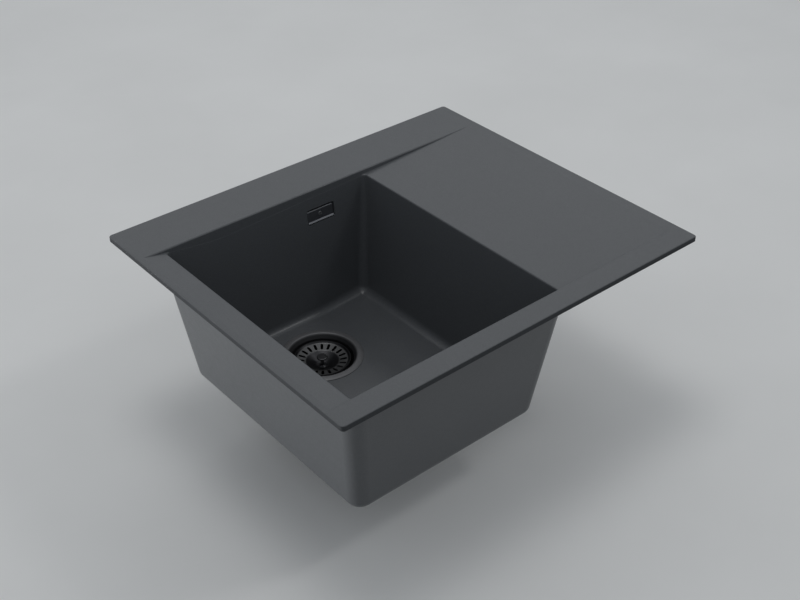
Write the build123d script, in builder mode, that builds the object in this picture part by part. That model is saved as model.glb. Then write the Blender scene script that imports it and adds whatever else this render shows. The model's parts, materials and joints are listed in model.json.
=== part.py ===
from build123d import *
import os
from math import atan2, cos, degrees, hypot, radians, sin, tan

os.makedirs("parts", exist_ok=True)

# A drop-in kitchen sink: a moulded composite body, a basket waste and an overflow.
# The origin is the middle of the rim's underside, which rests on the worktop at z = 0.
# +X points to the drainer, +Y to the tap ledge at the back, +Z up. All sizes are in mm.

# Rim
rim_length = 580.0
rim_depth = 490.0
rim_thickness = 7.0
rim_corner_radius = 5.0
rim_edge_radius = 1.5

# Bowl, with its mouth set in from the rim's edges and its depth taken from the rim's top
left_rim_width = 38.0
front_rim_width = 32.0
tap_ledge_width = 76.0
mouth_length = 324.0
mouth_edge_radius = 2.0
bowl_depth = 187.0
wall_thickness = 10.0
wall_draft = 7.25
mouth_corner_radius = 6.0
floor_corner_radius = 13.5
floor_edge_radius = 12.0
floor_level_half = 70.0
floor_rise_angle = 4.5
floor_ease_radius = 300.0
bowl_corner_radius = 20.0
bowl_base_radius = 13.0

# Drainer on the right and narrow rim on the left, which both fall towards the bowl
drainer_margin = 18.0
drainer_fall = 6.5
drainer_thickness = 8.0
left_margin = 8.0
left_fall = 4.0
valley_radius = 300.0
step_ease = 0.1
lip_angle = 10.0
lip_drop = 0.2
slope_overrun = 3.0
cut_margin = 20.0
pick_margin = 1.0

# Tap hole knock-outs, blind from below
tap_hole_radius = 17.5
tap_hole_depth = 4.0
tap_hole_spacing = 175.0

# Drain hole in the bowl's floor
drain_setback = 105.0
drain_hole_radius = 45.0
drain_countersink_radius = 50.8
drain_countersink_angle = 90.0

# Strainer cup, pressed from sheet, that lines the drain hole
sheet_thickness = 0.8
flange_overlap = 12.0
flange_edge_height = 0.8
flange_shoulder_height = 1.85
flange_rise = 2.3
flange_roll = 3.0
flange_curve_radius = 12.0
flange_lip_curve = 2.3
flange_lip_radius = 48.5
cup_clearance = 0.4
cup_shoulder_depth = 4.6
cup_wall_taper = 2.0
cup_depth = 36.0
cup_corner_radius = 6.0
cup_hole_count = 8
cup_hole_radius = 5.0
cup_hole_circle = 20.0
flange_seal_width = 2.8
flange_seal_thickness = 0.95

# Clamp screw, which pulls the cup and the waste body together through the floor
screw_radius = 2.9
screw_length = 20.0
screw_clearance = 0.1
screw_hole_radius = 3.4
screw_head_radius = 8.0
screw_head_height = 7.0
screw_socket_radius = 4.6
screw_socket_depth = 5.6
screw_slot_width = 2.0
washer_thickness = 1.0
insert_radius = 5.0
insert_length = 16.0

# Waste body under the floor
waste_seal_thickness = 3.0
waste_wall = 3.0
waste_gap = 3.0
waste_flange_width = 11.0
waste_depth = 45.0
waste_cone_height = 9.0
outlet_radius = 23.9
outlet_length = 34.0
boss_radius = 9.0
boss_gap = 1.0
rib_thickness = 3.0
rib_height = 12.0
rib_count = 4

# Removable basket
basket_gap = 4.0
basket_drop = 4.2
pan_sheet = 1.0
pan_rim_width = 2.0
pan_rim_height = 0.6
pan_wall_depth = 2.0
pan_wall_run = 2.4
pan_floor_fall = 2.4
pan_curve_radius = 2.0
dish_radius = 22.7
dish_depth = 9.0
dish_flat_radius = 8.0
dish_curve_radius = 10.0
slot_count = 20
slot_length = 10.2
slot_width = 3.8
knob_radius = 7.5
knob_thickness = 3.2
knob_edge_radius = 1.4
knob_drop = 2.0
post_radius = 2.5
post_foot_radius = 5.0
post_foot_height = 1.4
stud_radius = 2.0
stud_length = 6.0
stud_clearance = 0.1
stopper_disc_radius = 27.0
stopper_disc_thickness = 2.2
stopper_hub_radius = 10.0
stopper_pin_radius = 4.0
stopper_pin_gap = 0.8
stopper_head_gap = 0.5
seal_lip_radius = 31.0
seal_thickness = 2.0
seat_clearance = 0.3
grip_ring_radius = 0.8
grip_ring_stand = 0.3
grip_groove_slack = 0.1

# Overflow in the back wall, near the right corner
overflow_x = -9.0
overflow_drop = 38.7
overflow_hole_width = 46.0
overflow_hole_height = 22.6
overflow_hole_radius = 3.0
cover_top_gap = 3.2
cover_side_gap = 1.5
cover_bottom_gap = 1.4
cover_recess = 1.6
cover_panel = 2.4
cover_bevel = 0.9
cover_sill_run = 1.8
cover_sill_land = 0.5
cover_boss_radius = 4.0
overflow_screw_radius = 2.0
overflow_screw_head_radius = 3.2
overflow_screw_head_height = 1.2
overflow_screw_head_chamfer = 0.4
overflow_screw_length = 22.0
overflow_screw_clearance = 0.2

# Overflow elbow behind the wall
gasket_thickness = 2.0
gasket_border = 5.0
elbow_flange = 3.0
elbow_wall = 2.5
elbow_depth = 30.0
elbow_corner_radius = 4.0
elbow_boss_radius = 4.0

# Overflow pipe and its screwed joints
pipe_radius = 10.0
pipe_wall = 1.8
pipe_bend_radius = 30.0
pipe_fit = 0.2
pipe_stop = 0.5
spigot_wall = 4.6
spigot_length = 26.0
socket_depth = 18.0
inlet_drop = 42.0
inlet_reach = 26.0
inlet_bite = 0.2
nut_fit = 0.3
nut_wall = 4.0
nut_overlap = 14.0
nut_cap = 3.0
nut_flute_count = 12
nut_flute_radius = 2.2
cone_seal_height = 5.5
cone_seal_lip = 1.6
seal_fit = 0.05

# Places worked out from the sizes above
slope = tan(radians(wall_draft))
mouth_left = -rim_length / 2 + left_rim_width
mouth_right = mouth_left + mouth_length
mouth_front = -rim_depth / 2 + front_rim_width
mouth_back = rim_depth / 2 - tap_ledge_width
mouth_depth = mouth_back - mouth_front
bowl_x = (mouth_left + mouth_right) / 2
bowl_y = (mouth_front + mouth_back) / 2
floor_z = rim_thickness - bowl_depth
underside_z = floor_z - wall_thickness
wall_step = wall_thickness / cos(radians(wall_draft))


def slanted_edges(solid):
    """The edges that run up and down the corners of a tapered box."""
    return solid.edges().filter_by(lambda edge: abs(edge.tangent_at(0.5).Z) > 0.5)


def save(solid, name):
    """Label a finished piece and write it to its own file."""
    solid.label = name
    export_step(solid, f"parts/{name}.step")


# Room inside the bowl, over the drainer and over the left rim
left_end = -rim_length / 2 + left_margin
right_end = rim_length / 2 - drainer_margin
left_grade = left_fall / (mouth_left - left_end)
drainer_grade = drainer_fall / (right_end - mouth_right)
valley_x = (left_grade * left_end + drainer_grade * right_end) / (left_grade + drainer_grade)
valley_z = rim_thickness - left_grade * (valley_x - left_end)
slope_top = rim_thickness + slope_overrun
lip_run = cut_margin * tan(radians(lip_angle))
lip_z = rim_thickness - lip_drop
lip_inset = lip_drop * slope - step_ease
wall_inset = (bowl_depth + wall_thickness) * slope - step_ease
foot_length = mouth_length - 2 * (bowl_depth + wall_thickness) * slope
foot_depth = mouth_depth - 2 * (bowl_depth + wall_thickness) * slope
side_reach = foot_length / 2 - cut_margin
floor_reach = mouth_length / 2
floor_rise = (floor_reach - floor_level_half) * tan(radians(floor_rise_angle))

with BuildPart() as bowl_room:
    with BuildSketch(Plane.XY.offset(rim_thickness)):
        with Locations((bowl_x, bowl_y)):
            RectangleRounded(mouth_length, mouth_depth, mouth_corner_radius)
    with BuildSketch(Plane.XY.offset(underside_z)):
        with Locations((bowl_x, bowl_y)):
            RectangleRounded(foot_length, foot_depth, floor_corner_radius)
    loft(ruled=True)
    # The floor is level round the drain and rises towards the side walls
    with BuildSketch(Plane.XZ.offset(-mouth_back - cut_margin)) as floor_section:
        with BuildLine():
            Polyline(
                (bowl_x - floor_reach, floor_z + floor_rise),
                (bowl_x - floor_level_half, floor_z),
                (bowl_x + floor_level_half, floor_z),
                (bowl_x + floor_reach, floor_z + floor_rise),
                (bowl_x + floor_reach, slope_top),
                (bowl_x - floor_reach, slope_top),
                close=True,
            )
        make_face()
        fillet(floor_section.vertices().group_by(Axis.Y)[0], floor_ease_radius)
    extrude(amount=mouth_depth + 2 * cut_margin, mode=Mode.INTERSECT)
    floor_edges = bowl_room.edges().filter_by(
        lambda edge: edge.center().Z < floor_z + floor_rise
        and (abs(edge.tangent_at(0.5).Y) < 0.5 or abs(edge.center().X - bowl_x) > side_reach)
    )
    fillet(floor_edges, floor_edge_radius)
    with BuildSketch(Plane.XZ.offset(-mouth_back - cut_margin)) as falls:
        with BuildLine():
            Polyline(
                (left_end - slope_overrun / left_grade, slope_top),
                (valley_x, valley_z),
                (right_end + slope_overrun / drainer_grade, slope_top),
                close=True,
            )
        make_face()
        fillet(falls.vertices().sort_by(Axis.Y)[0], valley_radius)
    extrude(amount=mouth_depth + 2 * cut_margin)
    mouth_edges = bowl_room.edges().filter_by(
        lambda edge: abs(edge.center().Y - bowl_y) < mouth_depth / 2 + pick_margin
        and abs(edge.center().X - bowl_x) < mouth_length / 2 + pick_margin
        and valley_z - pick_margin < edge.center().Z < rim_thickness
    )
    fillet(mouth_edges, mouth_edge_radius)
    with BuildSketch(Plane.YZ.offset(-rim_length)) as walls:
        with BuildLine():
            Polyline(
                (mouth_front + wall_inset, underside_z),
                (mouth_back - wall_inset, underside_z),
                (mouth_back - lip_inset, lip_z),
                (mouth_back + cut_margin, lip_z + lip_run),
                (mouth_front - cut_margin, lip_z + lip_run),
                (mouth_front + lip_inset, lip_z),
                close=True,
            )
        make_face()
        fillet(walls.vertices().group_by(Axis.Y)[1], mouth_edge_radius)
    extrude(amount=2 * rim_length, mode=Mode.INTERSECT)

# Outside of the bowl
skin_top = rim_thickness / 2
skin_grow = wall_step - (rim_thickness - skin_top) * slope

with BuildPart() as bowl_skin:
    with BuildSketch(Plane.XY.offset(skin_top)):
        with Locations((bowl_x, bowl_y)):
            Rectangle(mouth_length + 2 * skin_grow, mouth_depth + 2 * skin_grow)
    extrude(amount=underside_z - skin_top, taper=wall_draft)
    fillet(slanted_edges(bowl_skin.part), bowl_corner_radius)
    fillet(bowl_skin.faces().sort_by(Axis.Z)[0].edges(), bowl_base_radius)

# Places of the drain and the overflow
drain_x = bowl_x
drain_y = mouth_back - drain_setback
drain_axis = Axis((drain_x, drain_y, 0), (0, 0, 1))
drain_section = Plane(origin=(drain_x, drain_y, floor_z), x_dir=(1, 0, 0), z_dir=(0, -1, 0))
rim_section = Plane(origin=(drain_x, drain_y, 0), x_dir=(1, 0, 0), z_dir=(0, -1, 0))
overflow_y = mouth_back - overflow_drop * slope
overflow_z = rim_thickness - overflow_drop
wall_normal = (0, -cos(radians(wall_draft)), sin(radians(wall_draft)))
overflow_face = Plane(origin=(overflow_x, overflow_y, overflow_z), x_dir=(1, 0, 0), z_dir=wall_normal)
ledge_y = rim_depth / 2 - tap_ledge_width / 2

# Sink body
with BuildPart() as sink_body:
    with BuildSketch():
        RectangleRounded(rim_length, rim_depth, rim_corner_radius)
    extrude(amount=rim_thickness)
    fillet(sink_body.faces().sort_by(Axis.Z)[-1].edges(), rim_edge_radius)
    add(bowl_skin.part)
    with BuildSketch(Plane.XZ.offset(-mouth_back - wall_step)):
        with BuildLine():
            Polyline(
                (mouth_right, rim_thickness / 2),
                (right_end, rim_thickness / 2),
                (right_end, 0),
                (mouth_right, rim_thickness - drainer_fall - drainer_thickness),
                close=True,
            )
        make_face()
    extrude(amount=mouth_depth + 2 * wall_step)
    add(bowl_room.part, mode=Mode.SUBTRACT)
    with Locations((drain_x, drain_y, floor_z)):
        CounterSinkHole(
            drain_hole_radius, drain_countersink_radius, 2 * wall_thickness, drain_countersink_angle
        )
    with BuildSketch(overflow_face.offset(wall_thickness)):
        RectangleRounded(overflow_hole_width, overflow_hole_height, overflow_hole_radius)
    extrude(amount=-3 * wall_thickness, mode=Mode.SUBTRACT)
    with BuildSketch():
        with Locations((bowl_x, ledge_y), (bowl_x + tap_hole_spacing, ledge_y)):
            Circle(tap_hole_radius)
    extrude(amount=tap_hole_depth, mode=Mode.SUBTRACT)
save(sink_body.part, "sink_body")

# Strainer cup
flange_radius = drain_hole_radius + flange_overlap
cup_outer_radius = drain_hole_radius - cup_clearance
cup_radius = cup_outer_radius - sheet_thickness
cup_base_radius = cup_radius - cup_wall_taper

with BuildPart() as strainer_cup:
    with BuildSketch(drain_section):
        with BuildLine():
            FilletPolyline(
                (flange_radius, flange_edge_height),
                (flange_radius - flange_roll, flange_shoulder_height),
                (flange_lip_radius, flange_rise),
                (cup_radius, -cup_shoulder_depth),
                (cup_base_radius, -cup_depth),
                (screw_hole_radius, -cup_depth),
                radius=[flange_curve_radius, flange_lip_curve, flange_lip_curve, cup_corner_radius],
            )
            offset(amount=sheet_thickness, side=Side.LEFT)
        make_face()
    revolve(axis=drain_axis)
    with BuildSketch(Plane.XY.offset(floor_z - cup_depth)):
        with Locations((drain_x, drain_y)):
            with PolarLocations(cup_hole_circle, cup_hole_count):
                Circle(cup_hole_radius)
    extrude(amount=-2 * sheet_thickness, mode=Mode.SUBTRACT)
save(strainer_cup.part, "strainer_cup")

# Flange seal, between the cup's flange and the bowl's floor
with BuildPart() as flange_seal:
    with BuildSketch(Plane.XY.offset(floor_z)):
        with Locations((drain_x, drain_y)):
            Circle(drain_countersink_radius + flange_seal_width)
            Circle(drain_countersink_radius, mode=Mode.SUBTRACT)
    extrude(amount=flange_seal_thickness)
save(flange_seal.part, "flange_seal")

# Screw washer, on the cup's base
base_z = floor_z - cup_depth
head_z = base_z + washer_thickness
head_top = head_z + screw_head_height

with BuildPart() as screw_washer:
    with BuildSketch(Plane.XY.offset(base_z)):
        with Locations((drain_x, drain_y)):
            Circle(screw_head_radius)
            Circle(screw_hole_radius, mode=Mode.SUBTRACT)
    extrude(amount=washer_thickness)
save(screw_washer.part, "screw_washer")

# Clamp screw, with a hollow slotted head that also guides the basket's pin
with BuildPart() as clamp_screw:
    with BuildSketch(Plane.XY.offset(head_z)):
        with Locations((drain_x, drain_y)):
            Circle(screw_head_radius)
    extrude(amount=screw_head_height)
    with BuildSketch(Plane.XY.offset(head_z)):
        with Locations((drain_x, drain_y)):
            Circle(screw_radius)
    extrude(amount=-screw_length)
    with BuildSketch(Plane.XY.offset(head_top)):
        with Locations((drain_x, drain_y)):
            Circle(screw_socket_radius)
    extrude(amount=-screw_socket_depth, mode=Mode.SUBTRACT)
    with BuildSketch(Plane.XY.offset(head_top)):
        with Locations((drain_x, drain_y)):
            Rectangle(2 * screw_head_radius, screw_slot_width)
    extrude(amount=-screw_socket_depth / 2, mode=Mode.SUBTRACT)
save(clamp_screw.part, "clamp_screw")

# Waste seal, between the floor's underside and the waste body
waste_inner_radius = cup_outer_radius + waste_gap
waste_outer_radius = waste_inner_radius + waste_wall
waste_flange_radius = waste_inner_radius + waste_flange_width
waste_top = underside_z - waste_seal_thickness

with BuildPart() as waste_seal:
    with BuildSketch(Plane.XY.offset(underside_z)):
        with Locations((drain_x, drain_y)):
            Circle(waste_flange_radius)
            Circle(waste_inner_radius, mode=Mode.SUBTRACT)
    extrude(amount=-waste_seal_thickness)
save(waste_seal.part, "waste_seal")

# Course of the overflow pipe: down behind the back wall, then in to the waste body
elbow_axis_depth = wall_thickness + gasket_thickness + elbow_flange + elbow_depth / 2
pipe_drop = overflow_face.from_local_coords((0, 0, -elbow_axis_depth))
pipe_run = hypot(pipe_drop.X - drain_x, pipe_drop.Y - drain_y)
pipe_angle = atan2(pipe_drop.Y - drain_y, pipe_drop.X - drain_x)
pipe_heading = (cos(pipe_angle), sin(pipe_angle), 0)
pipe_bore = pipe_radius - pipe_wall
spigot_radius = pipe_radius + spigot_wall
socket_radius = pipe_radius + pipe_fit
inlet_z = floor_z - inlet_drop
inlet_root = (waste_outer_radius**2 - spigot_radius**2) ** 0.5 - inlet_bite
inlet_end = waste_outer_radius + inlet_reach
inlet_stop = inlet_end - socket_depth
inlet_plane = Plane(origin=(drain_x, drain_y, inlet_z), x_dir=(0, 0, 1), z_dir=pipe_heading)
spigot_end = pipe_drop.Z - overflow_hole_height / 2 - elbow_wall - spigot_length
spigot_stop = spigot_end + socket_depth

# Waste body: a cup with a side inlet, a ribbed boss for the screw and a threaded outlet
outlet_bore = outlet_radius - waste_wall
waste_bottom = waste_top - waste_depth
cone_bottom = waste_bottom - waste_cone_height
boss_top = base_z - sheet_thickness - boss_gap
rib_length = waste_inner_radius + waste_wall / 2

with BuildPart() as waste_body:
    with BuildSketch(rim_section):
        with BuildLine():
            Polyline(
                (waste_flange_radius, waste_top),
                (waste_inner_radius, waste_top),
                (waste_inner_radius, waste_bottom),
                (outlet_bore, cone_bottom),
                (outlet_bore, cone_bottom - outlet_length),
            )
            offset(amount=waste_wall, side=Side.LEFT, kind=Kind.INTERSECTION)
        make_face()
    revolve(axis=drain_axis)
    with BuildSketch(Plane.XY.offset(waste_bottom)):
        with Locations((drain_x, drain_y)):
            Circle(boss_radius)
    extrude(amount=boss_top - waste_bottom)
    with BuildSketch(Plane.XY.offset(waste_bottom)):
        with Locations((drain_x, drain_y)):
            with PolarLocations(rib_length / 2, rib_count):
                Rectangle(rib_length, rib_thickness)
    extrude(amount=rib_height)
    with BuildSketch(Plane.XY.offset(waste_bottom)):
        with Locations((drain_x, drain_y)):
            Circle(screw_radius + screw_clearance)
    extrude(amount=boss_top - waste_bottom, mode=Mode.SUBTRACT)
    with BuildSketch(Plane.XY.offset(boss_top)):
        with Locations((drain_x, drain_y)):
            Circle(insert_radius)
    extrude(amount=-insert_length, mode=Mode.SUBTRACT)
    with BuildSketch(inlet_plane.offset(inlet_root)):
        Circle(spigot_radius)
    extrude(amount=inlet_end - inlet_root)
    with BuildSketch(inlet_plane.offset(inlet_stop)):
        Circle(pipe_bore)
    extrude(amount=cup_outer_radius - inlet_stop, mode=Mode.SUBTRACT)
    with BuildSketch(inlet_plane.offset(inlet_end)):
        Circle(socket_radius)
    extrude(amount=-socket_depth, mode=Mode.SUBTRACT)
save(waste_body.part, "waste_body")

# Threaded insert in the boss
with BuildPart() as screw_insert:
    with BuildSketch(Plane.XY.offset(boss_top)):
        with Locations((drain_x, drain_y)):
            Circle(insert_radius)
            Circle(screw_radius + screw_clearance, mode=Mode.SUBTRACT)
    extrude(amount=-insert_length)
save(screw_insert.part, "screw_insert")

# Basket pan: a sheet pressing with a slotted floor round a plain dish
pan_radius = cup_radius - basket_gap
pan_lip_radius = pan_radius - pan_rim_width
pan_floor_radius = pan_lip_radius - pan_wall_run
pan_floor_z = -basket_drop - pan_wall_depth
dish_edge_z = pan_floor_z - pan_floor_fall
dish_z = dish_edge_z - dish_depth
slot_circle = (pan_floor_radius + dish_radius) / 2

with BuildPart() as basket_pan:
    with BuildSketch(drain_section):
        with BuildLine():
            FilletPolyline(
                (pan_radius, -basket_drop - 2 * pan_rim_height),
                (pan_radius - pan_rim_height, -basket_drop),
                (pan_lip_radius, -basket_drop),
                (pan_floor_radius, pan_floor_z),
                (dish_radius, dish_edge_z),
                (dish_flat_radius, dish_z),
                (stud_radius + stud_clearance, dish_z),
                radius=[0, 0, pan_curve_radius, pan_curve_radius, dish_curve_radius],
            )
            offset(amount=pan_sheet, side=Side.LEFT)
        make_face()
    revolve(axis=drain_axis)
    with BuildSketch(Plane.XY.offset(floor_z + pan_floor_z)):
        with Locations((drain_x, drain_y)):
            with PolarLocations(slot_circle, slot_count):
                SlotOverall(slot_length, slot_width)
    extrude(amount=-pan_floor_fall - 2 * pan_sheet, mode=Mode.SUBTRACT)
save(basket_pan.part, "basket_pan")

# Lift knob: a mushroom on a thin post, with a stud through the pan
knob_top = -knob_drop
knob_under = knob_top - knob_thickness
foot_top = dish_z + post_foot_height

with BuildPart() as lift_knob:
    with BuildSketch(drain_section):
        with BuildLine():
            Polyline(
                (0, dish_z - stud_length),
                (stud_radius, dish_z - stud_length),
                (stud_radius, dish_z),
                (post_foot_radius, dish_z),
                (post_radius, foot_top),
                (post_radius, knob_under),
                (knob_radius, knob_under + knob_thickness / 3),
                (knob_radius, knob_top),
                (0, knob_top),
                close=True,
            )
        make_face()
    revolve(axis=drain_axis)
    fillet(lift_knob.faces().sort_by(Axis.Z)[-1].edges(), knob_edge_radius)
save(lift_knob.part, "lift_knob")

# Stopper under the pan: a hub and disc with a pin that drops into the screw's head
hub_top = floor_z + dish_z - pan_sheet
disc_bottom = head_top + stopper_head_gap
pin_bottom = head_top - screw_socket_depth + stopper_pin_gap
ring_z = (head_top + pin_bottom) / 2
ring_circle = stopper_pin_radius - grip_ring_radius + grip_ring_stand
groove_half = grip_ring_radius + grip_groove_slack
ring_plane = Plane(origin=(drain_x + ring_circle, drain_y, ring_z), x_dir=(1, 0, 0), z_dir=(0, -1, 0))

with BuildPart() as grip_ring:
    with BuildSketch(ring_plane):
        Rectangle(2 * grip_ring_radius, 2 * grip_ring_radius)
    revolve(axis=drain_axis)
save(grip_ring.part, "grip_ring")

with BuildPart() as stopper_body:
    with BuildSketch(Plane.XY.offset(disc_bottom)):
        with Locations((drain_x, drain_y)):
            Circle(stopper_disc_radius)
    extrude(amount=stopper_disc_thickness)
    with BuildSketch(Plane.XY.offset(disc_bottom)):
        with Locations((drain_x, drain_y)):
            Circle(stopper_hub_radius)
    extrude(amount=hub_top - disc_bottom)
    with BuildSketch(Plane.XY.offset(disc_bottom)):
        with Locations((drain_x, drain_y)):
            Circle(stopper_pin_radius)
    extrude(amount=pin_bottom - disc_bottom)
    with BuildSketch(Plane.XY.offset(hub_top)):
        with Locations((drain_x, drain_y)):
            Circle(stud_radius + stud_clearance)
    extrude(amount=-stud_length, mode=Mode.SUBTRACT)
    with BuildSketch(Plane.XY.offset(ring_z - groove_half)):
        with Locations((drain_x, drain_y)):
            Circle(stopper_pin_radius)
            Circle(ring_circle - groove_half, mode=Mode.SUBTRACT)
    extrude(amount=2 * groove_half, mode=Mode.SUBTRACT)
save(stopper_body.part, "stopper_body")

# Stopper seal: a rubber skirt under the disc that closes on the cup's base
seal_inner = screw_head_radius + stopper_head_gap
seal_foot = base_z + seat_clearance

with BuildPart() as stopper_seal:
    with BuildSketch(rim_section):
        with BuildLine():
            Polyline(
                (seal_inner, disc_bottom),
                (stopper_disc_radius, disc_bottom),
                (seal_lip_radius, seal_foot),
                (seal_lip_radius - seal_thickness, seal_foot),
                (stopper_disc_radius - seal_thickness, disc_bottom - seal_thickness),
                (seal_inner, disc_bottom - seal_thickness),
                close=True,
            )
        make_face()
    revolve(axis=drain_axis)
save(stopper_seal.part, "stopper_seal")

# Overflow cover: a plate set back in the hole, with a gap all round for the water, a sill that
# slopes out to the wall's face along its lower edge, and a boss behind for the screw
cover_width = overflow_hole_width - 2 * cover_side_gap
cover_top = overflow_hole_height / 2 - cover_top_gap
cover_bottom = cover_bottom_gap - overflow_hole_height / 2
cover_back = -cover_recess - cover_panel
sill_edge = cover_bottom + cover_sill_land
cover_section = Plane(origin=overflow_face.origin, x_dir=overflow_face.y_dir, z_dir=overflow_face.x_dir)
elbow_face = overflow_face.offset(-wall_thickness - gasket_thickness)
cover_depth = wall_thickness + gasket_thickness - cover_recess
screw_seat = overflow_face.offset(-cover_recess - overflow_screw_head_height)

with BuildPart() as overflow_cover:
    with BuildSketch(cover_section):
        with BuildLine():
            Polyline(
                (cover_top, cover_back),
                (cover_top, -cover_recess - cover_bevel),
                (cover_top - cover_bevel, -cover_recess),
                (sill_edge + cover_sill_run, -cover_recess),
                (sill_edge, 0),
                (cover_bottom, 0),
                (cover_bottom, cover_back),
                close=True,
            )
        make_face()
    extrude(amount=cover_width / 2, both=True)
    with BuildSketch(elbow_face):
        Circle(cover_boss_radius)
    extrude(amount=cover_depth - cover_panel)
    with BuildSketch(elbow_face):
        Circle(overflow_screw_radius + overflow_screw_clearance)
    extrude(amount=cover_depth, mode=Mode.SUBTRACT)
    with BuildSketch(screw_seat):
        Circle(overflow_screw_head_radius + overflow_screw_clearance)
    extrude(amount=overflow_screw_head_height, mode=Mode.SUBTRACT)
save(overflow_cover.part, "overflow_cover")

# Overflow screw, through the cover into the elbow
with BuildPart() as overflow_screw:
    with BuildSketch(screw_seat):
        Circle(overflow_screw_head_radius)
    extrude(amount=overflow_screw_head_height)
    chamfer(overflow_screw.faces().sort_by(Axis.Y)[0].edges(), overflow_screw_head_chamfer)
    with BuildSketch(screw_seat):
        Circle(overflow_screw_radius)
    extrude(amount=-overflow_screw_length)
save(overflow_screw.part, "overflow_screw")

# Overflow gasket, on the outside of the wall
gasket_width = overflow_hole_width + 2 * gasket_border
gasket_height = overflow_hole_height + 2 * gasket_border

with BuildPart() as overflow_gasket:
    with BuildSketch(overflow_face.offset(-wall_thickness)):
        RectangleRounded(gasket_width, gasket_height, elbow_corner_radius)
        RectangleRounded(overflow_hole_width, overflow_hole_height, overflow_hole_radius, mode=Mode.SUBTRACT)
    extrude(amount=-gasket_thickness)
save(overflow_gasket.part, "overflow_gasket")

# Overflow elbow: a chamber behind the wall with a spigot that points straight down
elbow_length = elbow_flange + elbow_depth

with BuildPart() as overflow_elbow:
    with BuildSketch(elbow_face):
        RectangleRounded(gasket_width, gasket_height, elbow_corner_radius)
    extrude(amount=-elbow_flange)
    with BuildSketch(elbow_face):
        RectangleRounded(
            overflow_hole_width + 2 * elbow_wall, overflow_hole_height + 2 * elbow_wall, elbow_corner_radius
        )
    extrude(amount=-elbow_length)
    with BuildSketch(Plane.XY.offset(pipe_drop.Z)):
        with Locations((pipe_drop.X, pipe_drop.Y)):
            Circle(spigot_radius)
    extrude(amount=spigot_end - pipe_drop.Z)
    with BuildSketch(elbow_face):
        RectangleRounded(overflow_hole_width, overflow_hole_height, overflow_hole_radius)
    extrude(amount=elbow_wall - elbow_length, mode=Mode.SUBTRACT)
    with BuildSketch(Plane.XY.offset(pipe_drop.Z)):
        with Locations((pipe_drop.X, pipe_drop.Y)):
            Circle(pipe_bore)
    extrude(amount=spigot_end - pipe_drop.Z, mode=Mode.SUBTRACT)
    with BuildSketch(Plane.XY.offset(spigot_end)):
        with Locations((pipe_drop.X, pipe_drop.Y)):
            Circle(socket_radius)
    extrude(amount=socket_depth, mode=Mode.SUBTRACT)
    with BuildSketch(elbow_face):
        Circle(elbow_boss_radius)
    extrude(amount=-elbow_length)
    with BuildSketch(elbow_face):
        Circle(overflow_screw_radius + overflow_screw_clearance)
    extrude(amount=-elbow_length / 2, mode=Mode.SUBTRACT)
save(overflow_elbow.part, "overflow_elbow")

# Overflow pipe: one bent tube between the elbow and the waste body
pipe_plane = Plane(
    origin=(drain_x, drain_y, 0), x_dir=pipe_heading, z_dir=(sin(pipe_angle), -cos(pipe_angle), 0)
)

with BuildPart() as overflow_pipe:
    with BuildLine(pipe_plane) as pipe_route:
        FilletPolyline(
            (pipe_run, spigot_stop - pipe_stop),
            (pipe_run, inlet_z),
            (inlet_stop + pipe_stop, inlet_z),
            radius=pipe_bend_radius,
        )
    with BuildSketch(Plane(origin=pipe_route.line @ 0, z_dir=pipe_route.line % 0)):
        Circle(pipe_radius)
        Circle(pipe_bore, mode=Mode.SUBTRACT)
    sweep(path=pipe_route.line)
save(overflow_pipe.part, "overflow_pipe")


# Screwed joints at the pipe's two ends
def pipe_nut(joint):
    """A fluted union nut over the spigot that ends at the joint's plane."""
    nut_bore = spigot_radius + nut_fit
    nut_radius = nut_bore + nut_wall
    with BuildPart() as nut:
        with BuildSketch(joint.offset(-nut_overlap)):
            Circle(nut_radius)
            with PolarLocations(nut_radius + nut_flute_radius / 2, nut_flute_count):
                Circle(nut_flute_radius, mode=Mode.SUBTRACT)
            Circle(pipe_radius + pipe_fit, mode=Mode.SUBTRACT)
        extrude(amount=nut_overlap + cone_seal_height + nut_cap)
        with BuildSketch(joint.offset(-nut_overlap)):
            Circle(nut_bore)
        extrude(amount=nut_overlap + cone_seal_height, mode=Mode.SUBTRACT)
    return nut.part


def cone_seal(joint):
    """A tapered ring round the pipe, held on the spigot's end by the nut."""
    with BuildPart() as ring:
        with BuildSketch(joint):
            Circle(spigot_radius)
        extrude(amount=cone_seal_height, taper=degrees(atan2(cone_seal_lip, cone_seal_height)))
        with BuildSketch(joint):
            Circle(pipe_radius + seal_fit)
        extrude(amount=cone_seal_height, mode=Mode.SUBTRACT)
    return ring.part


upper_joint = Plane(origin=(pipe_drop.X, pipe_drop.Y, spigot_end), x_dir=(1, 0, 0), z_dir=(0, 0, -1))
lower_joint = inlet_plane.offset(inlet_end)
save(pipe_nut(upper_joint), "upper_pipe_nut")
save(cone_seal(upper_joint), "upper_cone_seal")
save(pipe_nut(lower_joint), "lower_pipe_nut")
save(cone_seal(lower_joint), "lower_cone_seal")
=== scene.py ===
import json
import math

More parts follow.
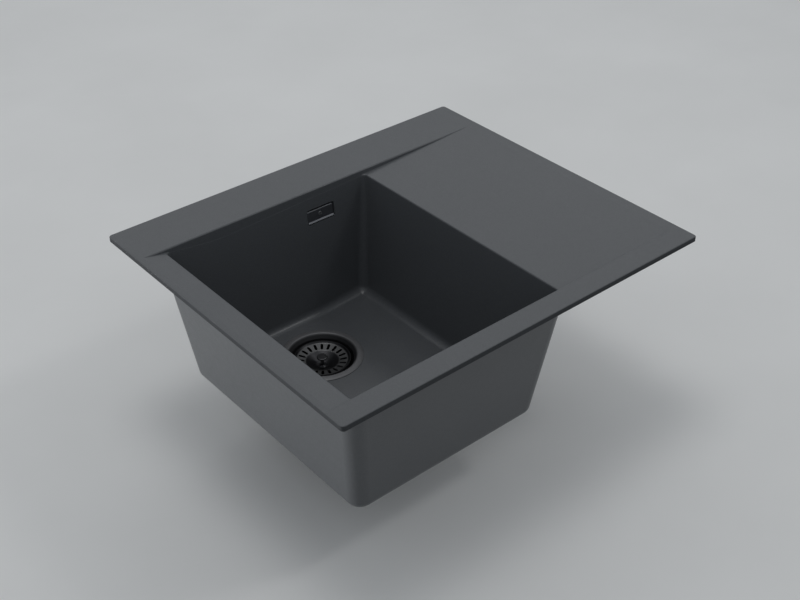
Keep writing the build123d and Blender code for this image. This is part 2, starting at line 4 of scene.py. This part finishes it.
import bmesh
import bpy
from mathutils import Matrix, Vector


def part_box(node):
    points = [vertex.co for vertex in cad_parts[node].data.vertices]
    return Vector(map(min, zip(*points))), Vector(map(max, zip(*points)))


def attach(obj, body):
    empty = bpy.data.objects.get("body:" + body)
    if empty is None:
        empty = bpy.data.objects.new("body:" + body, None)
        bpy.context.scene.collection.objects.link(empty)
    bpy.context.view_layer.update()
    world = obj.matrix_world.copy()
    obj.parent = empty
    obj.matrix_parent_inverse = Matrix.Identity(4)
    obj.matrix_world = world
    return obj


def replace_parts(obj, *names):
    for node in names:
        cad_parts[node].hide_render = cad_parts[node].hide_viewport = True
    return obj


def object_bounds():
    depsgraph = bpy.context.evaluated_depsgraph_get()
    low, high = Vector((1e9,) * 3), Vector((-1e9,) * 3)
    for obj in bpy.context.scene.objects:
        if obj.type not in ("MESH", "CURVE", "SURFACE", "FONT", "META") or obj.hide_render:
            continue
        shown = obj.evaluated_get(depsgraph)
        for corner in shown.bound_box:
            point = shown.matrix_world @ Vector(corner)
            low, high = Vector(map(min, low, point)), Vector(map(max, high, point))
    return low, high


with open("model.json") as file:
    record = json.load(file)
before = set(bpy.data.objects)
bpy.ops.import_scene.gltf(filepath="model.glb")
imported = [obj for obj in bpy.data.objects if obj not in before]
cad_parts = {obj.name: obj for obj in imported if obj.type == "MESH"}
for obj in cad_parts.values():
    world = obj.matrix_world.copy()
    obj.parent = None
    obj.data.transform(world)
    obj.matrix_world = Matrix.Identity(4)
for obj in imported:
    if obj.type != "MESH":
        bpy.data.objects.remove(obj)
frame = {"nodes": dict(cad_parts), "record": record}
cad_low, cad_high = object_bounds()
nodes = frame["nodes"]

# Materials
noise_low, noise_high = 0.3, 0.7  # most values of a noise lie between these

# The rim's outer edge, where painted shade darkens the upright faces: its depth in from the outline, its
# lowest height and the upward share of its normal.
# Over each pair the painted shade and the duller, less glossy finish fade in.
edge_starts, edge_full = 0.007, 0.0065
underside_starts, underside_full = -0.0006, -0.0003
flat_share, upright_share = 0.85, 0.35


def new_material(name):
    """A material with an empty tree, its shader and its object coordinates."""
    material = bpy.data.materials.new(name)
    material.use_nodes = True
    tree = material.node_tree
    tree.nodes.clear()
    output = tree.nodes.new("ShaderNodeOutputMaterial")
    shader = tree.nodes.new("ShaderNodeBsdfPrincipled")
    coords = tree.nodes.new("ShaderNodeTexCoord")
    tree.links.new(shader.outputs["BSDF"], output.inputs["Surface"])
    return material, tree, shader, coords.outputs["Object"]


def noise(tree, vector, scale, detail=4.0, roughness=0.55):
    node = tree.nodes.new("ShaderNodeTexNoise")
    node.inputs["Scale"].default_value = scale
    node.inputs["Detail"].default_value = detail
    node.inputs["Roughness"].default_value = roughness
    tree.links.new(vector, node.inputs["Vector"])
    return node.outputs["Fac"]


def ramp(tree, factor, stops):
    """A colour ramp; each stop is a place and a grey or a colour."""
    node = tree.nodes.new("ShaderNodeValToRGB")
    elements = node.color_ramp.elements
    while len(elements) < len(stops):
        elements.new(0.5)
    for element, (place, value) in zip(elements, stops):
        element.position = place
        colour = value if isinstance(value, tuple) else (value, value, value)
        element.color = (*colour, 1.0)
    tree.links.new(factor, node.inputs["Fac"])
    return node.outputs["Color"]


def patches(tree, factor, low, high):
    """Greys or colours that follow a noise from one value to another."""
    return ramp(tree, factor, [(noise_low, low), (noise_high, high)])


def mix(tree, factor, first, second, blend="MIX"):
    """Mix two colour sockets; the factor is a socket or a number."""
    node = tree.nodes.new("ShaderNodeMix")
    node.data_type = "RGBA"
    node.blend_type = blend
    if isinstance(factor, float):
        node.inputs["Factor"].default_value = factor
    else:
        tree.links.new(factor, node.inputs["Factor"])
    tree.links.new(first, node.inputs["A"])
    tree.links.new(second, node.inputs["B"])
    return node.outputs["Result"]


def bump(tree, shader, height, strength, distance):
    node = tree.nodes.new("ShaderNodeBump")
    node.inputs["Strength"].default_value = strength
    node.inputs["Distance"].default_value = distance
    tree.links.new(height, node.inputs["Height"])
    tree.links.new(node.outputs["Normal"], shader.inputs["Normal"])


def map_range(tree, value, low, high):
    node = tree.nodes.new("ShaderNodeMapRange")
    node.inputs["From Min"].default_value = low
    node.inputs["From Max"].default_value = high
    tree.links.new(value, node.inputs["Value"])
    return node.outputs["Result"]


def combine(tree, operation, first, second=None):
    node = tree.nodes.new("ShaderNodeMath")
    node.operation = operation
    tree.links.new(first, node.inputs[0])
    if second is not None:
        tree.links.new(second, node.inputs[1])
    return node.outputs["Value"]


def rim_edge(tree, place, outline):
    """One on the rim's upright outer edge and nought elsewhere, the mask of the edge's painted shade and
    duller finish; the outline is the body's far corner.
    """
    spot = tree.nodes.new("ShaderNodeSeparateXYZ")
    tree.links.new(place, spot.inputs["Vector"])
    sideways = combine(tree, "ABSOLUTE", spot.outputs["X"])
    along = map_range(tree, sideways, outline.x - edge_starts, outline.x - edge_full)
    endways = combine(tree, "ABSOLUTE", spot.outputs["Y"])
    across = map_range(tree, endways, outline.y - edge_starts, outline.y - edge_full)
    above = map_range(tree, spot.outputs["Z"], underside_starts, underside_full)
    geometry = tree.nodes.new("ShaderNodeNewGeometry")
    facing = tree.nodes.new("ShaderNodeSeparateXYZ")
    tree.links.new(geometry.outputs["Normal"], facing.inputs["Vector"])
    upright = map_range(tree, combine(tree, "ABSOLUTE", facing.outputs["Z"]), flat_share, upright_share)
    border = combine(tree, "MAXIMUM", along, across)
    return combine(tree, "MULTIPLY", combine(tree, "MULTIPLY", border, above), upright)


def composite(outline):
    """Quartz-filled resin: dark grey with a fine grain, faint clouding, painted shade on the rim's upright
    edge and a duller finish there.
    """
    material, tree, shader, place = new_material("composite")
    cloud = patches(tree, noise(tree, place, 6.0), (0.0893, 0.0945, 0.1012), (0.0928, 0.0982, 0.105))
    grain = tree.nodes.new("ShaderNodeTexVoronoi")
    grain.inputs["Scale"].default_value = 1800.0
    tree.links.new(place, grain.inputs["Vector"])
    fleck = ramp(tree, grain.outputs["Color"], [(0.0, 0.82), (0.55, 0.97), (1.0, 1.2)])
    edge = rim_edge(tree, place, outline)
    # Painted shade: the upright rim edge is darkened to two thirds of its tone
    painted_edge_shade = ramp(tree, edge, [(0.0, 1.0), (1.0, 0.66)])
    toned = mix(tree, 1.0, cloud, painted_edge_shade, "MULTIPLY")
    tree.links.new(mix(tree, 1.0, toned, fleck, "MULTIPLY"), shader.inputs["Base Color"])
    sheen = patches(tree, noise(tree, place, 120.0), 0.29, 0.35)
    dulled = ramp(tree, edge, [(0.0, 0.0), (1.0, 0.45)])
    tree.links.new(mix(tree, 1.0, sheen, dulled, "ADD"), shader.inputs["Roughness"])
    gleam = ramp(tree, edge, [(0.0, 0.5), (1.0, 0.08)])
    tree.links.new(gleam, shader.inputs["Specular IOR Level"])
    skin = noise(tree, place, 1600.0, detail=3.0, roughness=0.6)
    bump(tree, shader, skin, strength=0.16, distance=0.0003)
    return material


def steel(name, dark, light, smooth, rough, scale):
    """Satin metal with fine random scratches and patchy gloss."""
    material, tree, shader, place = new_material(name)
    shader.inputs["Metallic"].default_value = 1.0
    tree.links.new(patches(tree, noise(tree, place, 40.0), dark, light), shader.inputs["Base Color"])
    gloss = patches(tree, noise(tree, place, scale, detail=6.0, roughness=0.7), smooth, rough)
    tree.links.new(gloss, shader.inputs["Roughness"])
    bump(tree, shader, noise(tree, place, 2.0 * scale, detail=2.0), strength=0.08, distance=0.0002)
    return material


def plastic(name, dark, light, smooth, rough):
    """Moulded plastic with a fine spark-eroded skin."""
    material, tree, shader, place = new_material(name)
    tree.links.new(patches(tree, noise(tree, place, 25.0), dark, light), shader.inputs["Base Color"])
    gloss = patches(tree, noise(tree, place, 90.0), smooth, rough)
    tree.links.new(gloss, shader.inputs["Roughness"])
    bump(tree, shader, noise(tree, place, 900.0, detail=3.0), strength=0.12, distance=0.0003)
    return material


def rubber():
    """Black rubber with a chalky bloom in patches."""
    material, tree, shader, place = new_material("black_rubber")
    tone = ramp(tree, noise(tree, place, 70.0), [(0.35, 0.014), (0.75, 0.026)])
    tree.links.new(tone, shader.inputs["Base Color"])
    gloss = patches(tree, noise(tree, place, 150.0), 0.66, 0.82)
    tree.links.new(gloss, shader.inputs["Roughness"])
    bump(tree, shader, noise(tree, place, 700.0, detail=2.0), strength=0.15, distance=0.0003)
    return material


def radial_zones(tree, place, centre, reach, stops):
    """Colours that change with the distance from an upright axis; each stop is a radius and a colour."""
    offset = tree.nodes.new("ShaderNodeVectorMath")
    offset.operation = "SUBTRACT"
    offset.inputs[1].default_value = centre
    tree.links.new(place, offset.inputs[0])
    flat = tree.nodes.new("ShaderNodeVectorMath")
    flat.operation = "MULTIPLY"
    flat.inputs[1].default_value = (1.0, 1.0, 0.0)
    tree.links.new(offset.outputs["Vector"], flat.inputs[0])
    radius = tree.nodes.new("ShaderNodeVectorMath")
    radius.operation = "LENGTH"
    tree.links.new(flat.outputs["Vector"], radius.inputs[0])
    share = map_range(tree, radius.outputs["Value"], 0.0, reach)
    return ramp(tree, share, [(spot / reach, colour) for spot, colour in stops])


def plating_and_painted_light(name, centre, reach, stops, metal, smooth, rough):
    """Dark plated sheet: radial tones of painted light and shade round the drain's axis, faint patches and
    fine scratches.
    """
    material, tree, shader, place = new_material(name)
    shader.inputs["Metallic"].default_value = metal
    # Painted light: the radial tones paint shade and highlights by distance from the axis
    zones = radial_zones(tree, place, centre, reach, stops)
    patch = patches(tree, noise(tree, place, 40.0), 0.9, 1.1)
    tree.links.new(mix(tree, 1.0, zones, patch, "MULTIPLY"), shader.inputs["Base Color"])
    gloss = patches(tree, noise(tree, place, 500.0, detail=6.0, roughness=0.7), smooth, rough)
    tree.links.new(gloss, shader.inputs["Roughness"])
    bump(tree, shader, noise(tree, place, 1000.0, detail=2.0), strength=0.08, distance=0.0002)
    return material


def dress(node, material):
    mesh = nodes[node].data
    mesh.materials.clear()
    mesh.materials.append(material)


looks = {
    "composite": composite(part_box("sink_body")[1]),
    "dark_steel": steel("dark_steel", (0.08, 0.08, 0.084), (0.1, 0.1, 0.104), 0.3, 0.4, 500.0),
    "bright_steel": steel("bright_steel", (0.52, 0.52, 0.52), (0.64, 0.64, 0.63), 0.28, 0.42, 600.0),
    "insert_brass": steel("insert_brass", (0.62, 0.44, 0.18), (0.74, 0.56, 0.28), 0.3, 0.45, 600.0),
    "black_rubber": rubber(),
    "black_plastic": plastic("black_plastic", (0.024, 0.024, 0.026), (0.036, 0.036, 0.038), 0.42, 0.55),
    "grey_plastic": plastic("grey_plastic", (0.27, 0.28, 0.29), (0.33, 0.34, 0.35), 0.4, 0.52),
    "screw_steel": steel("screw_steel", (0.3, 0.305, 0.31), (0.36, 0.365, 0.37), 0.4, 0.5, 500.0),
    "cover_steel": steel("cover_steel", (0.15, 0.155, 0.168), (0.18, 0.186, 0.2), 0.46, 0.56, 500.0),
}
for entry in frame["record"]["subparts"]:
    dress(entry["node"], looks[entry["material_slot"]])

# Painted light on the strainer: painted shade darkens the cup inside its flange, and on the pan a painted
# highlight pales the slotted ring while painted shade darkens the dish and the rim
cup_low, cup_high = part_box("strainer_cup")
drain_middle = (cup_low + cup_high) / 2
zone_reach = 0.06
# Painted shade: the cup is dark inside a radius of 46.5 mm and paler on its flange
cup_painted_shade_zones = [(0.0465, (0.03, 0.03, 0.032)), (0.048, (0.155, 0.155, 0.16))]
# Painted light: the dish and the rim are darkened as painted shade, and the slotted ring is paler as a
# painted highlight
pan_painted_light_zones = [
    (0.0216, (0.05, 0.05, 0.053)),
    (0.024, (0.19, 0.19, 0.192)),
    (0.0345, (0.19, 0.19, 0.192)),
    (0.0362, (0.034, 0.034, 0.036)),
]
dress(
    "strainer_cup",
    plating_and_painted_light("strainer_plating_painted_shade", drain_middle, zone_reach, cup_painted_shade_zones, metal=0.45, smooth=0.46, rough=0.56),
)
dress(
    "basket_pan",
    plating_and_painted_light("basket_plating_painted_light", drain_middle, zone_reach, pan_painted_light_zones, metal=0.92, smooth=0.34, rough=0.44),
)

# Threads and the cover's screw, which the solids have as plain cylinders and a plain head
down = Vector((0.0, 0.0, -1.0))

# A ridge: its foot's depth in the cylinder, and its half widths at foot and crest as shares of the pitch
ridge_root = 0.0004
foot_share = 0.42
crest_share = 0.12
steps_per_turn = 40
least_fade = 0.02  # keeps the ridge's ends above the cylinder

outlet_sizes = {"radius": 0.0239, "height": 0.00045, "pitch": 0.002309, "length": 0.0242}
outlet_start = 0.0265  # above the outlet's lower end
spigot_sizes = {"radius": 0.0146, "height": 0.0005, "pitch": 0.002, "length": 0.0092}
spigot_start = 0.0012  # from the nut's face

# The cover's screw: its cross recess, its head and its shank
recess_arm = 0.0019
recess_half_width = 0.0004
recess_depth = 0.0009
recess_taper = 0.7
recess_corner = math.atan(recess_half_width / recess_arm)
corner_slack = 1e-6
between_arms = [math.radians(turn) for turn in (20, 28, 36, 45, 54, 62, 70)]
head_radius = 0.0032
head_top_radius = 0.0028
head_height = 0.0012
head_chamfer = 0.0004
shank_radius = 0.002
tip_radius = 0.0013
tip_length = 0.0007
head_facing = -0.9  # the head's top faces forwards, into the bowl


def new_piece(name, body_mesh, body, slot, look=None):
    """A finished piece with normals facing out, which moves with a CAD body."""
    bmesh.ops.recalc_face_normals(body_mesh, faces=body_mesh.faces)
    mesh = bpy.data.meshes.new(name)
    body_mesh.to_mesh(mesh)
    body_mesh.free()
    mesh.materials.append(looks[look or slot])
    piece = bpy.data.objects.new(name, mesh)
    bpy.context.collection.objects.link(piece)
    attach(piece, body)
    return piece


def add_skin(target, rings):
    """Faces between each ring and the next, and one on either end."""
    for first, second in zip(rings, rings[1:]):
        for k in range(len(first)):
            after = (k + 1) % len(first)
            target.faces.new((first[k], first[after], second[after], second[k]))
    target.faces.new(rings[0])
    target.faces.new(rings[-1])


def add_thread(name, base, axis, radius, height, pitch, length):
    """A helical ridge on a cylinder, whose ends fade into it over half a turn."""
    target = bmesh.new()
    side = axis.orthogonal().normalized()
    third = axis.cross(side)
    steps = int(length / pitch * steps_per_turn)
    rings = []
    for step in range(steps + 1):
        angle = 2 * math.pi * step / steps_per_turn
        fade = min(1.0, 2 * step / steps_per_turn, 2 * (steps - step) / steps_per_turn)
        spoke = math.cos(angle) * side + math.sin(angle) * third
        middle = base + axis * (pitch * step / steps_per_turn)
        foot = radius - ridge_root
        crest = radius + max(fade, least_fade) * height
        outline = ((foot, -foot_share), (crest, -crest_share), (crest, crest_share), (foot, foot_share))
        rings.append(
            [target.verts.new(middle + spoke * out + axis * (pitch * along)) for out, along in outline]
        )
    add_skin(target, rings)
    new_piece(name, target, "sink", "black_plastic")


waste_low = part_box("waste_body")[0]
outlet_base = Vector((drain_middle.x, drain_middle.y, waste_low[2] + outlet_start))
add_thread("outlet_thread", outlet_base, down, **outlet_sizes)

nut_low, nut_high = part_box("upper_pipe_nut")
nut_middle = (nut_low + nut_high) / 2
upper_base = Vector((nut_middle.x, nut_middle.y, nut_high.z + spigot_start))
add_thread("upper_spigot_thread", upper_base, -down, **spigot_sizes)

inlet_low, inlet_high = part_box("lower_pipe_nut")
inlet_middle = (inlet_low + inlet_high) / 2
inlet_foot = Vector((drain_middle.x, drain_middle.y, inlet_middle.z))
heading = (inlet_middle - inlet_foot).normalized()
nut_face = min((vertex.co - inlet_foot).dot(heading) for vertex in nodes["lower_pipe_nut"].data.vertices)
lower_base = inlet_foot + heading * (nut_face - spigot_start)
add_thread("lower_spigot_thread", lower_base, -heading, **spigot_sizes)


def recess_radius(angle):
    """Distance from a cross recess's middle to its wall; the arms point along the quarter turns."""
    within = abs((angle + math.pi / 4) % (math.pi / 2) - math.pi / 4)
    if within < recess_corner + corner_slack:
        return recess_arm / math.cos(within)
    return recess_half_width / math.sin(within)


def add_screw(target, node):
    """A screw in a node's place, whose flat, chamfered head has a cross recess."""
    mesh = nodes[node].data
    faces = [face for face in mesh.polygons if face.normal.y < head_facing]
    area = sum(face.area for face in faces)
    out = sum((face.normal * face.area for face in faces), Vector()).normalized()
    top = sum((face.center * face.area for face in faces), Vector()) / area
    length = max((top - vertex.co).dot(out) for vertex in mesh.vertices)
    side = out.orthogonal().normalized()
    third = out.cross(side)
    quarter = [-recess_corner, 0.0, recess_corner] + between_arms
    angles = [turn * math.pi / 2 + angle for turn in range(4) for angle in quarter]
    recess = [recess_radius(angle) for angle in angles]

    def ring(depth, radii):
        return [
            target.verts.new(top - out * depth + (math.cos(angle) * side + math.sin(angle) * third) * radius)
            for angle, radius in zip(angles, radii)
        ]

    def circle(depth, radius):
        return ring(depth, [radius] * len(angles))

    rings = [
        circle(length, tip_radius),
        circle(length - tip_length, shank_radius),
        circle(head_height, shank_radius),
        circle(head_height, head_radius),
        circle(head_chamfer, head_radius),
        circle(0.0, head_top_radius),
        ring(0.0, recess),
        ring(recess_depth, [recess_taper * radius for radius in recess]),
    ]
    add_skin(target, rings)


cover_screw = bmesh.new()
add_screw(cover_screw, "overflow_screw")
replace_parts(new_piece("cover_screw", cover_screw, "sink", "cover_steel", "screw_steel"), "overflow_screw")


# Floor and backdrop
def floor_material():
    """A pale sheet, which scatters less light back at the sink than the camera and the reflections show."""
    material, tree, shader, place = new_material("floor")
    grain = noise(tree, place, 3.0)
    seen = patches(tree, grain, (0.82, 0.82, 0.81), (0.86, 0.86, 0.85))
    thrown = patches(tree, grain, (0.51, 0.51, 0.5), (0.55, 0.55, 0.54))
    path = tree.nodes.new("ShaderNodeLightPath")
    mirrored = combine(tree, "MAXIMUM", path.outputs["Is Glossy Ray"], path.outputs["Is Transmission Ray"])
    shown = combine(tree, "MAXIMUM", path.outputs["Is Camera Ray"], mirrored)
    tree.links.new(mix(tree, shown, thrown, seen), shader.inputs["Base Color"])
    shader.inputs["Roughness"].default_value = 0.8
    shader.inputs["Specular IOR Level"].default_value = 0.2
    return material


floor_half = 6.0
floor_mesh = bpy.data.meshes.new("floor")
floor_mesh.from_pydata(
    [
        (-floor_half, -floor_half, cad_low.z),
        (floor_half, -floor_half, cad_low.z),
        (floor_half, floor_half, cad_low.z),
        (-floor_half, floor_half, cad_low.z),
    ],
    [],
    [(0, 1, 2, 3)],
)
floor = bpy.data.objects.new("floor", floor_mesh)
bpy.context.collection.objects.link(floor)
floor_mesh.materials.append(floor_material())


# Lights
def area_light(name, place, target, width, height, power):
    lamp = bpy.data.lights.new(name, "AREA")
    lamp.shape = "RECTANGLE"
    lamp.size = width
    lamp.size_y = height
    lamp.energy = power
    lamp_object = bpy.data.objects.new(name, lamp)
    lamp_object.location = place
    lamp_object.rotation_mode = "QUATERNION"
    lamp_object.rotation_quaternion = (Vector(target) - Vector(place)).to_track_quat("-Z", "Y")
    bpy.context.collection.objects.link(lamp_object)


area_light("key", (-3.3, 2.75, -0.1), (-0.1, 0.0, -0.1), width=1.2, height=0.34, power=112.0)
area_light("back", (1.5, 1.9, 2.2), (0.0, 0.0, 0.0), width=3.2, height=2.4, power=11.2)
area_light("top", (-0.25, 0.3, 3.2), (0.0, 0.0, 0.0), width=1.2, height=1.2, power=16.0)
area_light("front", (1.7, -1.28, 2.4), (0.0, 0.0, 0.0), width=0.5, height=0.5, power=7.0)

world = bpy.data.worlds.new("studio")
bpy.context.scene.world = world
world.use_nodes = True
background = world.node_tree.nodes["Background"]
background.inputs["Color"].default_value = (0.9, 0.95, 1.0, 1.0)
background.inputs["Strength"].default_value = 0.35

# Camera, at the photograph's place
azimuth = math.radians(-40.19)
elevation = math.radians(35.2)
back = Vector(
    (
        math.sin(azimuth) * math.cos(elevation),
        -math.cos(azimuth) * math.cos(elevation),
        math.sin(elevation),
    )
)
camera_data = bpy.data.cameras.new("camera")
camera_data.sensor_width = 36.0
camera_data.lens = 55.68
camera = bpy.data.objects.new("camera", camera_data)
camera.location = (-0.8735, -1.0286, 0.8578)
camera.rotation_mode = "QUATERNION"
camera.rotation_quaternion = (-back).to_track_quat("-Z", "Y")
bpy.context.collection.objects.link(camera)
bpy.context.scene.camera = camera

bpy.context.scene.view_settings.view_transform = "Standard"
